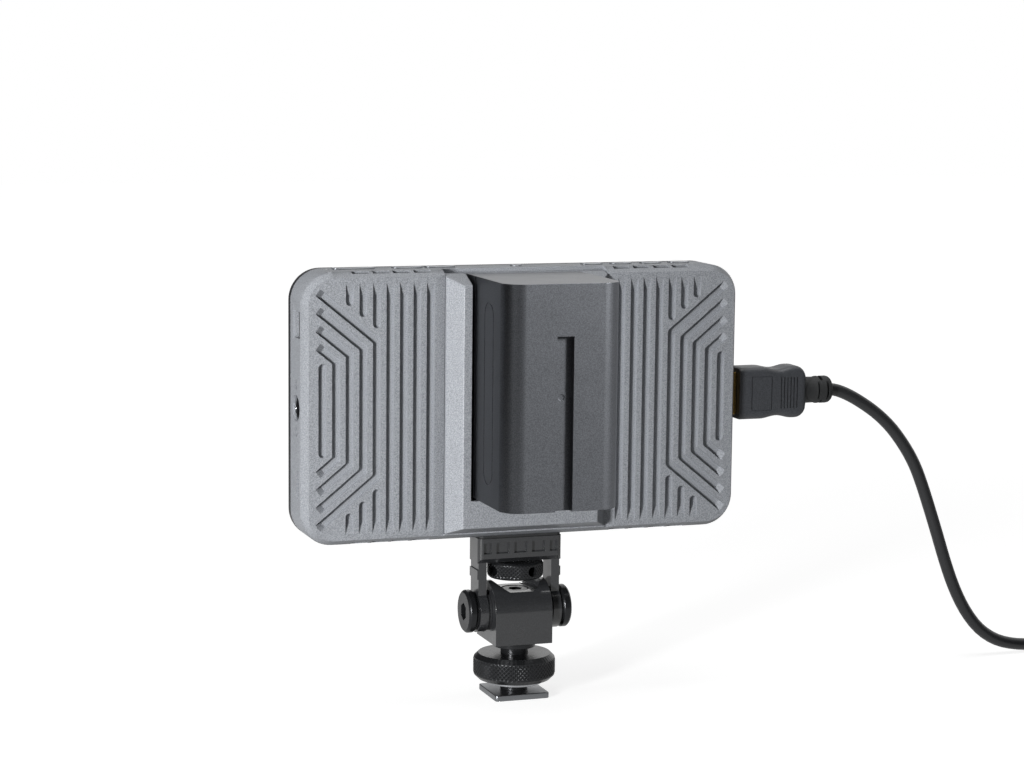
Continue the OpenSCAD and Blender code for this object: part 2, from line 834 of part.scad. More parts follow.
// Raised surround of the battery, sloped on all four sides and open above, where the battery slides in
module battery_surround() {
    half = recess_half - plate_gap;
    high = back_y + surround_up;
    pocket = batt_w / 2 + surround_gap;
    color("slategray") difference() {
        intersection() {
            translate([0, 0, recess_z]) linear_extrude(plate_top - recess_z) {
                polygon([
                    [-half, plate_y], [half, plate_y], [half, back_y], [half - surround_side, high],
                    [surround_side - half, high], [-half, back_y]
                ]);
            }
            translate([-half, 0, 0]) rotate([90, 0, 90]) linear_extrude(2 * half) {
                polygon([
                    [plate_y, recess_z], [back_y, recess_z], [high, recess_z + surround_foot],
                    [high, plate_top - surround_head], [back_y - bevel_d / 2, plate_top], [plate_y, plate_top]
                ]);
            }
        }
        block([-pocket, plate_y - 1, batt_z - surround_gap], [pocket, high + 1, plate_top + 1]);
    }
}

module plate_screws() {
    color("gray") for (x = [-1, 1], z = [-1, 1]) {
        at = [x * screw_x, 0, batt_z + batt_h / 2 + z * screw_z];
        rod_y(at + [0, plate_y - screw_head_t, 0], screw_head_t, head_screw_r);
        rod_y(at + [0, house_y + 0.3, 0], plate_y - screw_head_t - house_y - 0.3, 0.95);
    }
}

module terminal_block() {
    color("black") block([-8.6, plate_y, terminal_z], [8.6, plate_y + 2.4, terminal_z + 2]);
}

module contact_blades() {
    color("gold") for (i = [-1 : 1]) {
        translate([i * blade_x - 0.8, plate_y + 1.3, terminal_z + 2]) cube([1.6, 0.6, 4]);
    }
}

// ---- battery ----

module battery_base() {
    half = batt_w / 2;
    color("dimgray") difference() {
        block([-half, batt_y, batt_z], [half, base_out, batt_top]);
        for (x = [-cell_x, cell_x]) rod_z([x, cell_y1, pcb_z], batt_h - 4.4, cell_dia / 2 + cell_room);
        block([1.5 - half, batt_y + 2.8, pcb_z], [half - 1.5, base_out + 1, pcb_z + pcb_t]);
        block([-9, 0, 0], [9, batt_y + 2.4, terminal_z + 2.2]);
        for (i = [-1 : 1]) {
            block([i * blade_x - 1.1, plate_y + 1, 0], [i * blade_x + 1.1, plate_y + 2.2, terminal_z + 6.5]);
        }
        for (s = [-1, 1]) {
            block(
                [s * rail_x - rail_stem / 2 - rail_gap, 0, 0],
                [s * rail_x + rail_stem / 2 + rail_gap, batt_y + 1.2, rail_z0 + rail_l + 2.4]
            );
            block(
                [s * rail_x - rail_head / 2 - rail_gap, plate_y + 1.2, 0],
                [s * rail_x + rail_head / 2 + rail_gap, plate_y + 2.5, rail_z0 + rail_l + 2.4]
            );
        }
    }
}

// Outline of the shell seen from above, with its two outer edges rounded
module shell_outline(half, y0, y1, r) {
    translate([-half, y0]) square([2 * half, y1 - r - y0]);
    translate([r - half, y0]) square([2 * half - 2 * r, y1 - y0]);
    for (x = [-1, 1]) translate([x * (half - r), y1 - r]) circle(r);
}

// Long oval line pressed into a side of the battery
module side_oval() {
    long = batt_h - 13.3;
    wide = 8.8;
    line = 0.5;
    at = [0, (batt_y + batt_out) / 2 + 2.8, batt_z + batt_h / 2 - 0.2];
    translate(at) rotate([90, 0, 90]) linear_extrude(1) difference() {
        rounded(wide, long, wide / 2 - 0.01);
        rounded(wide - 2 * line, long - 2 * line, wide / 2 - line - 0.01);
    }
}

module battery_shell() {
    half = batt_w / 2;
    key_top = batt_top - 16.3;
    color("dimgray") difference() {
        translate([0, 0, batt_z]) linear_extrude(batt_h) shell_outline(half, base_out, batt_out, batt_r);
        difference() {
            translate([0, 0, batt_z + 1.2]) linear_extrude(batt_h - 1.2 - batt_wall) {
                shell_outline(half - batt_wall, base_out - 1, batt_out - batt_wall, batt_r - batt_wall);
            }
            block(
                [-key_w / 2 - 0.6, batt_out - key_d - 0.6, batt_z],
                [key_w / 2 + 0.6, batt_out, key_top + 0.6]
            );
        }
        block([-key_w / 2, batt_out - key_d, batt_z - 1], [key_w / 2, batt_out + 1, key_top]);
        rod_y([0.4, batt_out - key_d - 0.3, batt_z + batt_h / 2], 1, 1);
        translate([half - 0.2, 0, 0]) side_oval();
        mirror([1, 0, 0]) translate([half - 0.2, 0, 0]) side_oval();
        for (s = [-1, 1]) {
            translate([s * half, base_out + 0.5, batt_z]) cube([0.6, 1.01, 3 * batt_h], center = true);
        }
    }
}

module battery_cells() {
    color("teal") for (x = [-cell_x, cell_x], y = [cell_y1, cell_y2]) {
        rod_z([x, y, cell_z], cell_l, cell_dia / 2);
    }
}

module battery_board() {
    half = batt_w / 2 - 1.7;
    color("darkgreen") block([-half, batt_y + 3, pcb_z], [half, batt_out - 4, pcb_z + pcb_t]);
}

// ---- mount ----

module grip_pad() {
    color("black") difference() {
        translate([0, 0, pad_z]) linear_extrude(pad_t) rounded(2 * deck_half - 0.6, 2 * deck_deep - 0.6, 1.6);
        rod_z([0, 0, pad_z - 1], pad_t + 2, stud_r + 0.4);
    }
}

// Platform of the fork: a ribbed band runs round its two long sides
module fork_deck() {
    band_z = deck_z + 3.2;
    band_h = 3.5;
    band_half = deck_half - 1.7;
    difference() {
        translate([0, 0, deck_z]) linear_extrude(deck_t) rounded(2 * deck_half, 2 * deck_deep, 1.8);
        for (s = [-1, 1]) {
            translate([-band_half, s * deck_deep - 1, band_z]) cube([2 * band_half, 2, band_h]);
            translate([0, s * deck_deep, deck_z]) rotate([45, 0, 0]) {
                cube([3 * deck_half, 2.2, 2.2], center = true);
            }
        }
    }
    for (s = [-1, 1], x = [-3, -1, 1, 3] * rib_pitch / 2) {
        translate([x - 0.85, s > 0 ? deck_deep - 1.2 : -deck_deep, band_z]) cube([1.7, 1.2, band_h]);
    }
}

module fork_bracket() {
    color("dimgray") difference() {
        union() {
            fork_deck();
            for (s = [0, 1]) mirror([s, 0, 0]) {
                block([arm_in, -4, pivot_z], [arm_out, 4, deck_z + 1]);
                rod_x([arm_in, 0, pivot_z], arm_t, cap_r);
                block([arm_out - eps, -4, pivot_z + 11], [arm_out + 0.4, 4, pivot_z + 14.1]);
            }
        }
        rod_z([0, 0, deck_z - 1], deck_t + 2, stud_r + 0.2);
        rod_x([-40, 0, pivot_z], 80, shoulder_r + run_gap);
    }
}

module thumb_wheel() {
    color("black") difference() {
        union() {
            wheel(thumb_z, thumb_t, thumb_r, 0.5);
            rod_z([0, 0, thumb_z], case_z + thread_l - 1.2 - thumb_z, stud_r);
        }
        for (a = [20 : 90 : 290]) rotate([0, 0, a]) rod_x([thumb_r - 4, 0, thumb_z + thumb_t / 2], 6, 1.6);
    }
}

module hinge_block() {
    color("dimgray") difference() {
        union() {
            block([-block_half, -block_r, block_z], [block_half, block_r, pivot_z]);
            rod_x([-block_half, 0, pivot_z], 2 * block_half, block_r);
        }
        rod_z([0, 0, dish_z], 10, 8);
        rod_z([0, 0, head_z], 20, head_r + 0.35);
        rod_z([0, 0, block_z - 1], 30, swivel_r + run_gap);
        rod_x([bolt_end, 0, pivot_z], 10, bolt_r);
        rod_x([-bolt_end - 10, 0, pivot_z], 10, bolt_r);
    }
}

module friction_washers() {
    color("black") for (x = [block_half, -block_half - friction_t]) {
        ring_x(x, 0, pivot_z, friction_t, cap_r - 0.5, shoulder_r);
    }
}

module bolt_washers() {
    color("silver") for (x = [cap_x - 0.6, -cap_x]) ring_x(x, 0, pivot_z, 0.6, cap_r - 0.75, shoulder_r);
}

// Pivot bolt: thread, shoulder that the arm turns on, and head with a hexagon socket
module pivot_bolt() {
    difference() {
        union() {
            rod_x([bolt_end, 0, pivot_z], block_half - bolt_end, bolt_r);
            rod_x([block_half, 0, pivot_z], cap_x - block_half, shoulder_r);
            translate([cap_x, 0, pivot_z]) rotate([0, 90, 0]) wheel(0, cap_t, cap_r, 0.7);
        }
        translate([cap_x + cap_t - 2.2, 0, pivot_z]) rotate([0, 90, 0]) cylinder(h = 5, r = 2.9, $fn = 6);
    }
}

module pivot_bolts() {
    color("black") {
        pivot_bolt();
        mirror([1, 0, 0]) pivot_bolt();
    }
}

module swivel_bolt() {
    shank = foot_t + 6;
    color("black") difference() {
        union() {
            rod_z([0, 0, shank], head_z + face_gap - shank, swivel_r);
            rod_z([0, 0, head_z + face_gap], head_t, head_r);
        }
        translate([0, 0, head_z + head_t - 2.5]) cylinder(h = 5, r = 2.31, $fn = 6);
    }
}

module swivel_washer() {
    color("silver") ring_z(flange_top, swivel_washer_t, 6.5, swivel_r);
}

module lock_stem() {
    color("black") difference() {
        union() {
            rod_z([0, 0, foot_t], flange_z - foot_t, stem_r);
            rod_z([0, 0, flange_z], flange_t, 6.85);
        }
        rod_z([0, 0, foot_t + 6], 30, swivel_r);
    }
}

module lock_wheel() {
    color("black") difference() {
        wheel(wheel_z, wheel_t, wheel_r, 1.4);
        rod_z([0, 0, wheel_z - 1], wheel_t + 2, stem_r + run_gap);
    }
}

module lock_washer() {
    color("silver") ring_z(washer_z, lock_washer_t, 9.5, stem_r + run_gap);
}

module shoe_foot() {
    color("silver") linear_extrude(foot_t) rounded(foot_w, foot_w - 0.5, 1);
}

// ---- cable ----

// Plug pieces are drawn along +X from the point where the cable enters them
module at_near_plug() {
    translate([-half_w - plug_gap - plug_l - relief_l, 0, plug_z]) children();
}
module at_far_plug() {
    translate([coil_c[0] - coil_r, coil_c[1] + far_lead, plug_d / 2]) rotate([90, 0, 90]) children();
}

module relief() {
    difference() {
        union() {
            rod_x([0, 0, 0], relief_l, 4.1);
            rod_x([0, 0, 0], 3, 4.7);
            rod_x([relief_l - 5.2, 0, 0], 5.2, 4.6);
        }
        for (s = [-1, 1], x = [1.2, 4]) {
            translate([x, s * 5, 0]) cube([1, 5, 6], center = true);
        }
    }
}

// Body of the plug: drawn in at its waist, with round corners at the cable's end
module plug() {
    half = plug_h / 2;
    r = 3.4;
    outline = concat(
        [[plug_l, -half], [plug_l, half], [plug_l - 8, half]],
        [for (i = [1 : 5]) [plug_l - 8 - 1.1 * i, half - 0.45 * (1 - cos(36 * i))]],
        [for (i = [1 : 5]) [plug_l - 14.5 - i, half - 0.45 * (1 + cos(36 * i))]],
        [for (a = [0 : 15 : 90]) [r - r * sin(a), half - r + r * cos(a)]],
        [for (a = [90 : -15 : 0]) [r - r * sin(a), r - half - r * cos(a)]],
        [for (i = [5 : -1 : 1]) [plug_l - 14.5 - i, 0.45 * (1 + cos(36 * i)) - half]],
        [for (i = [5 : -1 : 1]) [plug_l - 8 - 1.1 * i, 0.45 * (1 - cos(36 * i)) - half]],
        [[plug_l - 8, -half]]
    );
    translate([relief_l, plug_d / 2, 0]) rotate([90, 0, 0]) linear_extrude(plug_d) polygon(outline);
}

module shell() {
    x0 = relief_l + plug_l;
    sheet = 0.35;
    difference() {
        block([x0, -video_h / 2, -video_w / 2], [x0 + shell_l, video_h / 2, video_w / 2]);
        block(
            [x0 + 1.2, sheet - video_h / 2, sheet - video_w / 2],
            [x0 + shell_l + 1, video_h / 2 - sheet, video_w / 2 - sheet]
        );
    }
}

module plug_shell() {
    color("gold") at_near_plug() shell();
}
module plug_body() {
    color("dimgray") at_near_plug() plug();
}
module strain_relief() {
    color("black") at_near_plug() relief();
}
module far_plug_shell() {
    color("gold") at_far_plug() shell();
}
module far_plug_body() {
    color("dimgray") at_far_plug() plug();
}
module far_strain_relief() {
    color("black") at_far_plug() relief();
}

function unit(v) = v / norm(v);

// Direction of a path at point i; first and last are given
function heading(path, i, first, last) =
    i == 0 ? first : i == len(path) - 1 ? last : unit(path[i + 1] - path[i - 1]);

// Tube of round section swept along a path; keel is a direction the path never takes
module tube(path, first, last, keel, dia, sides) {
    rings = [for (i = [0 : len(path) - 1])
        let (t = heading(path, i, first, last), a = unit(cross(keel, t)), b = cross(t, a))
        for (s = [0 : sides - 1])
            path[i] + dia / 2 * (cos(360 * (s + 0.5) / sides) * a + sin(360 * (s + 0.5) / sides) * b)];
    last_ring = sides * (len(path) - 1);
    skin = [for (i = [0 : len(path) - 2], s = [0 : sides - 1])
        let (p = i * sides + s, q = i * sides + (s + 1) % sides)
        each [[p, p + sides, q], [q, p + sides, q + sides]]];
    start_cap = [[for (s = [0 : sides - 1]) s]];
    end_cap = [[for (s = [sides - 1 : -1 : 0]) last_ring + s]];
    polyhedron(rings, concat(skin, start_cap, end_cap), convexity = 8);
}

module cable_run() {
    color("black") tube(ROUTE, ROUTE_OUT, ROUTE_OUT, [0, 1, 0], cable_dia, run_sides);
}

// Height and radius of the coil after t turns: spiral in, climb and turn back in half a turn, spiral out
function climb(u) = u * u * (3 - 2 * u);
function coil_height(t) =
    coil_low + coil_pitch * climb(min(1, max(0, 2 * (t - coil_turns))));
function coil_radius(t) =
    t < coil_turns ? coil_r - coil_pitch * t
    : t < coil_turns + 0.5 ? coil_inner - coil_pitch * (t - coil_turns) * (1 - 2 * (t - coil_turns))
    : coil_inner + coil_pitch * (t - coil_turns - 0.5);
function coil_point(t) =
    let (a = -90 - 360 * t, r = coil_radius(t))
    [coil_c[0] + r * cos(a), coil_c[1] + r * sin(a), coil_height(t)];

coil_n = round(coil_all * coil_rings);
far_lead = 18;
far_end = [coil_c[0] - coil_r, coil_c[1] + far_lead, plug_d / 2];
coil_last = coil_point(coil_all);
far_straight = 4.5;
far_drop = far_end[2] - coil_last[2];
COIL = concat(
    [for (i = [0 : lead_steps - 1]) [route_end[0] - coil_lead * i / lead_steps, route_end[1], coil_low]],
    [for (i = [0 : coil_n]) coil_point(i * coil_all / coil_n)],
    [for (i = [1 : 3]) let (u = i / 4)
        [coil_last[0], coil_last[1] + (far_lead - far_straight) * u, coil_last[2] + far_drop * climb(u * u)]],
    [far_end - [0, far_straight, 0], far_end]
);

module cable_coil() {
    color("black") tube(COIL, ROUTE_OUT, [0, 1, 0], [0, 0, 1], cable_dia, coil_sides);
}

// Least gap between stretches of the coil that aren't neighbours along it, and the length of the cable
function path_length(path) =
    let (steps = [for (i = [1 : len(path) - 1]) norm(path[i] - path[i - 1])])
    steps * [for (s = steps) 1];
coil_gap = min([for (i = [0 : len(COIL) - 1], j = [i + 10 : len(COIL) - 1]) if (j < len(COIL))
    norm(COIL[i] - COIL[j])]) - cable_dia;
echo(coil_gap_mm = coil_gap, run_mm = path_length(ROUTE), coil_mm = path_length(COIL));

module cable_tie() {
    band = 0.5;
    room = cable_dia / 2 + 0.3;
    in_y = coil_c[1] + min(coil_radius(coil_turns - 0.375), coil_radius(coil_turns + 0.625));
    out_y = coil_c[1] + coil_radius(0.5);
    top = coil_low + coil_pitch + room;
    color("black") difference() {
        block([coil_c[0] - 2, in_y - room - band, 0], [coil_c[0] + 2, out_y + room + band, top + band]);
        block([coil_c[0] - 3, in_y - room, coil_floor - 0.2], [coil_c[0] + 3, out_y + room, top]);
    }
}

rear_cover();
front_bezel();
cover_glass();
lcd_panel();
backlight();
mid_frame();
case_screws();
main_board();
board_screws();
board_chips();
heat_block();
button_board();
tact_switches();
menu_button();
up_button();
down_button();
power_button();
function_button_1();
function_button_2();
function_button_3();
function_button_4();
status_light();
side_insert();
bottom_insert();
dc_jack();
usb_socket();
hdmi_socket();
battery_plate();
battery_surround();
plate_screws();
terminal_block();
contact_blades();
battery_base();
battery_shell();
battery_cells();
battery_board();
grip_pad();
fork_bracket();
thumb_wheel();
hinge_block();
friction_washers();
bolt_washers();
pivot_bolts();
swivel_bolt();
swivel_washer();
lock_stem();
lock_wheel();
lock_washer();
shoe_foot();
plug_shell();
plug_body();
strain_relief();
cable_run();
cable_coil();
cable_tie();
far_strain_relief();
far_plug_body();
far_plug_shell();
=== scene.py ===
"""Looks of a small camera field monitor on its tilting shoe mount: finishes, softened edges, knurled wheels,
video plugs and cable, with a camera, lamps and a pale floor. Sizes are in millimetres, but the floor's and
the lamps' are in metres."""
import json
import math

import bmesh
import bpy
from mathutils import Matrix, Vector


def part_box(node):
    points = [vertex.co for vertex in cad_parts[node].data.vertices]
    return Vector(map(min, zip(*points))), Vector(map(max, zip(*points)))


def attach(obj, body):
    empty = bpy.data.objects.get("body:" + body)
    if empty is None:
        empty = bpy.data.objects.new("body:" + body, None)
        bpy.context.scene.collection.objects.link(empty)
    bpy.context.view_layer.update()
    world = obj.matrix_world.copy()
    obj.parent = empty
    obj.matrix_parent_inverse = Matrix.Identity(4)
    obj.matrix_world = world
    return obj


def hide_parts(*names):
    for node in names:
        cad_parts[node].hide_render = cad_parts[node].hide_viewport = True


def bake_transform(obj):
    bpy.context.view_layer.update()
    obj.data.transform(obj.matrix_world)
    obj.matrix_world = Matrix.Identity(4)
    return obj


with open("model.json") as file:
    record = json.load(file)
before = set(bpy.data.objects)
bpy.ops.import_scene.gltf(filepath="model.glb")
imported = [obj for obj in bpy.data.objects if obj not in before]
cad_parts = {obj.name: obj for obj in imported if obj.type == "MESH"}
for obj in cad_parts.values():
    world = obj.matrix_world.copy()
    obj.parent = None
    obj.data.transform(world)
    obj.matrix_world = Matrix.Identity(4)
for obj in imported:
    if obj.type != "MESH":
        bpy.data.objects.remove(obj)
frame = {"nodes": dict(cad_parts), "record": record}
bpy.context.view_layer.update()
nodes = frame["nodes"]
scene = bpy.context.scene
MM = 0.001

# ---- camera ----

CAMERA_AT = Vector((272.36, 780.56, 212.44)) * MM
CAMERA_TARGET = Vector((5.01, 9.5, 104.09)) * MM
CAMERA_ROLL = math.radians(0.591)
CAMERA_LENS = 90.594
CAMERA_SENSOR = 36


def add_camera():
    """Camera at the photograph's place, with its small roll."""
    data = bpy.data.cameras.new("camera")
    data.lens = CAMERA_LENS
    data.sensor_width = CAMERA_SENSOR
    data.clip_start = 0.01
    forward = (CAMERA_TARGET - CAMERA_AT).normalized()
    level = forward.cross(Vector((0, 0, 1))).normalized()
    upright = level.cross(forward)
    right = math.cos(CAMERA_ROLL) * level + math.sin(CAMERA_ROLL) * upright
    up = math.cos(CAMERA_ROLL) * upright - math.sin(CAMERA_ROLL) * level
    axes = Matrix((right, up, -forward)).transposed().to_4x4()
    camera = bpy.data.objects.new("camera", data)
    camera.matrix_world = Matrix.Translation(CAMERA_AT) @ axes
    scene.collection.objects.link(camera)
    scene.camera = camera


# ---- materials ----


def srgb(red, green, blue):
    """Linear colour of an sRGB one given as 0 to 255."""
    def linear(value):
        value /= 255
        return value / 12.92 if value <= 0.04045 else ((value + 0.055) / 1.055) ** 2.4
    return (linear(red), linear(green), linear(blue), 1)


# The part of the noise's range that is stretched over a finish's own range
NOISE_LOW = 0.3
NOISE_HIGH = 0.7
# Size of the broad patches
PATCH_SIZE = 9
MIRROR_ROUGHNESS = 0.02


def material(name, shade, roughness, metallic=0.0, grain=0.0, grain_size=0.3, bump=0.0, bump_size=0.3,
             wear=0.04, specular=0.5, coat=0.0):
    """Principled finish. grain is the spread of its speckle, bump the depth of its fine relief, wear the
    spread of its roughness over broad patches."""
    made = bpy.data.materials.new(name)
    made.use_nodes = True
    tree = made.node_tree
    shader = tree.nodes["Principled BSDF"]
    shader.inputs["Roughness"].default_value = roughness
    shader.inputs["Metallic"].default_value = metallic
    shader.inputs["Specular IOR Level"].default_value = specular
    shader.inputs["Coat Weight"].default_value = coat
    place = tree.nodes.new("ShaderNodeTexCoord")

    def noise(size, detail):
        found = tree.nodes.new("ShaderNodeTexNoise")
        found.inputs["Scale"].default_value = 1 / (size * MM)
        found.inputs["Detail"].default_value = detail
        tree.links.new(place.outputs["Object"], found.inputs["Vector"])
        return found

    def stretched(source, low, high):
        found = tree.nodes.new("ShaderNodeMapRange")
        found.inputs["From Min"].default_value = NOISE_LOW
        found.inputs["From Max"].default_value = NOISE_HIGH
        found.inputs["To Min"].default_value = low
        found.inputs["To Max"].default_value = high
        tree.links.new(source.outputs["Fac"], found.inputs["Value"])
        return found

    mix = tree.nodes.new("ShaderNodeMix")
    mix.data_type = "RGBA"
    colour = srgb(*shade)
    mix.inputs[6].default_value = tuple(c * (1 - grain) for c in colour[:3]) + (1,)
    mix.inputs[7].default_value = tuple(min(1, c * (1 + grain)) for c in colour[:3]) + (1,)
    tree.links.new(stretched(noise(grain_size, 1), 0, 1).outputs[0], mix.inputs[0])
    tree.links.new(mix.outputs[2], shader.inputs["Base Color"])
    patches = stretched(noise(PATCH_SIZE, 3), max(MIRROR_ROUGHNESS, roughness - wear), roughness + wear)
    tree.links.new(patches.outputs[0], shader.inputs["Roughness"])
    if bump:
        relief = tree.nodes.new("ShaderNodeBump")
        relief.inputs["Strength"].default_value = 1
        relief.inputs["Distance"].default_value = bump * MM
        tree.links.new(noise(bump_size, 2).outputs["Fac"], relief.inputs["Height"])
        tree.links.new(relief.outputs[0], shader.inputs["Normal"])
    return made


FINISHES = {
    "case_grey": material("case_grey", (146, 149, 154), 0.5, metallic=0.12, grain=0.3, bump=0.01,
                          specular=0.25),
    "key_grey": material("key_grey", (150, 153, 158), 0.4, metallic=0.6, grain=0.15, bump=0.006),
    "battery_grey": material("battery_grey", (86, 88, 92), 0.38, metallic=0.8, grain=0.25, bump=0.012,
                             bump_size=0.35, wear=0.01),
    "black_plastic": material("black_plastic", (38, 39, 41), 0.5, grain=0.15, bump=0.02),
    "mount_black": material("mount_black", (42, 43, 45), 0.3, grain=0.4, grain_size=0.25, bump=0.012,
                            coat=0.6),
    "black_steel": material("black_steel", (40, 41, 43), 0.28, metallic=0.6, grain=0.1, bump=0.004),
    "plug_black": material("plug_black", (58, 60, 64), 0.46, grain=0.28, grain_size=0.3, bump=0.03),
    "cable_black": material("cable_black", (30, 31, 33), 0.42, grain=0.1, bump=0.01, bump_size=0.8),
    "black_rubber": material("black_rubber", (34, 35, 36), 0.7, grain=0.12, bump=0.02),
    "screen_glass": material("screen_glass", (8, 9, 11), 0.06, grain=0.05, wear=0.02, coat=0.6),
    "display": material("display", (16, 18, 22), 0.25, grain=0.05),
    "white_plastic": material("white_plastic", (228, 229, 226), 0.35, grain=0.03, bump=0.004),
    "plain_metal": material("plain_metal", (128, 130, 133), 0.34, metallic=1.0, grain=0.06, bump=0.004),
    "steel": material("steel", (170, 172, 175), 0.25, metallic=1.0, grain=0.05, bump=0.003),
    "gold_plate": material("gold_plate", (226, 186, 110), 0.22, metallic=1.0, grain=0.05, bump=0.003),
    "circuit_board": material("circuit_board", (24, 74, 44), 0.35, grain=0.3, grain_size=1.2, bump=0.01),
    "chip_black": material("chip_black", (36, 37, 38), 0.45, grain=0.1, bump=0.006),
    "cell_wrap": material("cell_wrap", (40, 118, 128), 0.35, grain=0.06, bump=0.004, bump_size=2),
}

# ---- edges of the pieces that are shown as they are ----

EDGES = {
    "rear_cover": 0.22, "front_bezel": 0.3, "cover_glass": 0.15, "battery_plate": 0.2,
    "battery_surround": 0.3, "battery_shell": 0.3, "battery_base": 0.3,
    "side_insert": 0.15, "dc_jack": 0.12, "usb_socket": 0.1, "hdmi_socket": 0.1,
    "grip_pad": 0.2, "fork_bracket": 0.35, "hinge_block": 0.35, "friction_washers": 0.15,
    "bolt_washers": 0.1, "pivot_bolts": 0.18, "swivel_bolt": 0.18, "swivel_washer": 0.1,
    "lock_stem": 0.15, "lock_washer": 0.2, "shoe_foot": 0.3,
    "plug_shell": 0.15, "far_plug_shell": 0.15, "cable_tie": 0.15,
    "menu_button": 0.2, "up_button": 0.2, "down_button": 0.2, "power_button": 0.15,
}
EDGES.update({f"function_button_{i}": 0.2 for i in (1, 2, 3, 4)})
WELD_GAP = 0.001
FLAT_ANGLE = math.radians(0.5)
SOFT_ANGLE = math.radians(28)


def dress_node(node, finish, width):
    """Gives a piece its finish and rounds its edges without changing its own mesh."""
    piece = nodes[node]
    piece.data.materials.clear()
    piece.data.materials.append(finish)
    if not width:
        return
    weld = piece.modifiers.new("weld", "WELD")
    weld.merge_threshold = WELD_GAP * MM
    flat = piece.modifiers.new("flat", "DECIMATE")
    flat.decimate_type = "DISSOLVE"
    flat.angle_limit = FLAT_ANGLE
    edge = piece.modifiers.new("edge", "BEVEL")
    edge.width = width * MM
    edge.segments = 2
    edge.limit_method = "ANGLE"
    edge.angle_limit = SOFT_ANGLE
    edge.use_clamp_overlap = True
    normal = piece.modifiers.new("normal", "WEIGHTED_NORMAL")
    normal.keep_sharp = False


# ---- mesh pieces ----


def skin(rings, caps=True, loop=False):
    """Points and faces of a stack of closed rings. loop joins the last ring to the first."""
    count = len(rings[0])
    points = [point for ring in rings for point in ring]
    faces = []
    for i in range(len(rings) if loop else len(rings) - 1):
        low, high = i * count, (i + 1) % len(rings) * count
        faces += [(low + k, low + (k + 1) % count, high + (k + 1) % count, high + k) for k in range(count)]
    if caps and not loop:
        faces += [tuple(reversed(range(count))), tuple(range(len(points) - count, len(points)))]
    return points, faces


def mesh_piece(name, shapes, body, slot, place=None, sharp=40, stands_for=()):
    """Piece made of one or more closed shapes, each a pair of points and faces, put in place on its body."""
    points, faces = [], []
    for shape_points, shape_faces in shapes:
        faces += [tuple(i + len(points) for i in face) for face in shape_faces]
        points += [tuple(p) for p in shape_points]
    data = bpy.data.meshes.new(name)
    data.from_pydata([tuple(MM * c for c in p) for p in points], [], faces)
    if place is not None:
        data.transform(place)
    solid = bmesh.new()
    solid.from_mesh(data)
    bmesh.ops.recalc_face_normals(solid, faces=solid.faces)
    solid.to_mesh(data)
    solid.free()
    data.shade_smooth()
    data.set_sharp_from_angle(angle=math.radians(sharp))
    data.materials.append(FINISHES[slot])
    piece = bpy.data.objects.new(name, data)
    scene.collection.objects.link(piece)
    if stands_for:
        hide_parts(*stands_for)
    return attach(piece, body) if body else piece


def cut(piece, shapes, sharp=40):
    """Takes closed shapes out of a piece."""
    cutter = mesh_piece("cutter", shapes, None, "chip_black")
    change = piece.modifiers.new("cut", "BOOLEAN")
    change.object = cutter
    change.solver = "EXACT"
    change.use_self = True
    bpy.context.view_layer.update()
    made = bpy.data.meshes.new_from_object(piece.evaluated_get(bpy.context.evaluated_depsgraph_get()))
    piece.modifiers.clear()
    piece.data = made
    made.shade_smooth()
    made.set_sharp_from_angle(angle=math.radians(sharp))
    bpy.data.objects.remove(cutter)


def ring_at(radius, height, steps):
    """Points of a level circle."""
    return [
        (radius * math.cos(a), radius * math.sin(a), height)
        for a in (math.tau * k / steps for k in range(steps))
    ]


# ---- knurled wheels ----

KNURL_SAMPLES = 6
KNURL_DEPTH = 0.34
KNURL_INSET = 0.25
# Share of the knurl's depth that is cut away at the rim's edges
KNURL_EDGE = 0.4


def diamond(turn, rise, teeth):
    """Height from 0 to 1 of a diamond knurl at a share of a turn and a share of a tooth's height."""
    def saw(value):
        return 1 - abs(2 * (value % 1) - 1)
    return min(saw(teeth * turn + rise), saw(teeth * turn - rise))


def wheel_rings(low, high, radius, bevel, teeth, hub):
    """Rings of a wheel from its underside round the knurled rim to its top."""
    steps = teeth * KNURL_SAMPLES
    tooth = math.tau * radius / teeth
    rows = round((high - low - 2 * bevel) / tooth * KNURL_SAMPLES)
    rings = [ring_at(hub, low, steps), ring_at(radius - bevel - KNURL_INSET, low, steps)]
    for j in range(rows + 1):
        z = low + bevel + (high - low - 2 * bevel) * j / rows
        fade = min(1, 2 * min(j, rows - j) / KNURL_SAMPLES)
        ring = []
        for k in range(steps):
            turn = k / steps
            share = KNURL_EDGE + (1 - KNURL_EDGE) * fade
            depth = KNURL_DEPTH * (1 - diamond(turn, (z - low) / tooth, teeth) * share)
            a = math.tau * turn
            ring.append(((radius - depth) * math.cos(a), (radius - depth) * math.sin(a), z))
        rings.append(ring)
    rings += [ring_at(radius - bevel - KNURL_INSET, high, steps), ring_at(hub, high, steps)]
    return rings


def rod(start, end, radius, steps=32):
    """Closed cylinder between two points."""
    start, end = Vector(start), Vector(end)
    turn = (end - start).to_track_quat("Z", "Y")
    ends = [[turn @ Vector(p) + at for p in ring_at(radius, 0, steps)] for at in (start, end)]
    return skin(ends)


def in_mm(node):
    """Lowest and highest corner of a CAD piece's box."""
    low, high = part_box(node)
    return low / MM, high / MM


THUMB_TEETH = 46
LOCK_TEETH = 60
TOMMY_ANGLES = (20, 110, 200, 290)
TOMMY_RADIUS = 1.6
TOMMY_DEPTH = 4
THUMB_BEVEL = 0.5
WHEEL_THICK = 5.4
STUD_RADIUS = 3.175
STUD_PITCH = 1.27
THREAD_DEPTH = 0.45
STUD_TIP = 0.6
LOCK_BEVEL = 1.4
LOCK_BORE = 4.56


